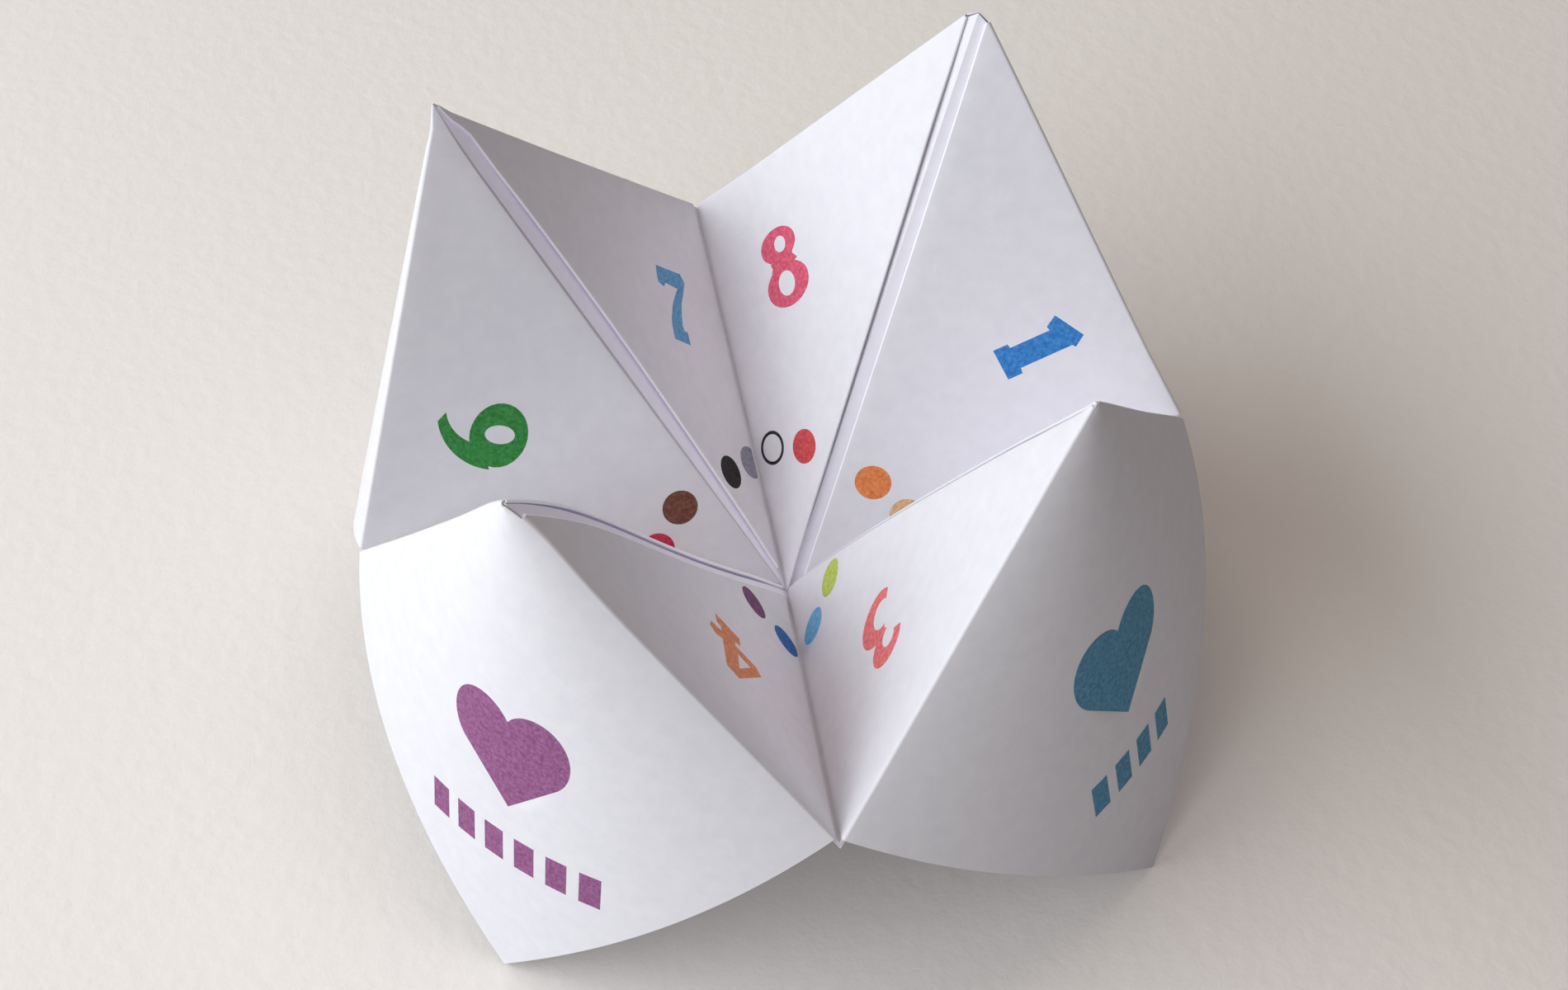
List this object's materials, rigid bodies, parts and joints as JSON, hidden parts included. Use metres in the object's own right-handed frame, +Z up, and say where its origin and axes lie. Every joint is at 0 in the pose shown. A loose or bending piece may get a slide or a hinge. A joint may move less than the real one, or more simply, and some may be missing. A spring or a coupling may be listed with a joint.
{
  "type": "paper fortune teller",
  "caption": "Square paper sheet folded corner to centre twice and opened into a pyramid-lobed mouth over finger pockets, with coloured hearts, numbers and dots.",
  "frame": {"origin": "bottom centre of the bounding box, on the surface that the four free corners stand on", "axes": "+Z up out of the open mouth, +Y away from the picture's camera, +X to the picture's right"},
  "size_m": [0.0964, 0.0956, 0.0716],
  "materials": {
    "paper": "matte white printer paper with printed colour"
  },
  "bodies": {
    "root": {"folded_sheet": "paper"}
  },
  "joints": []
}
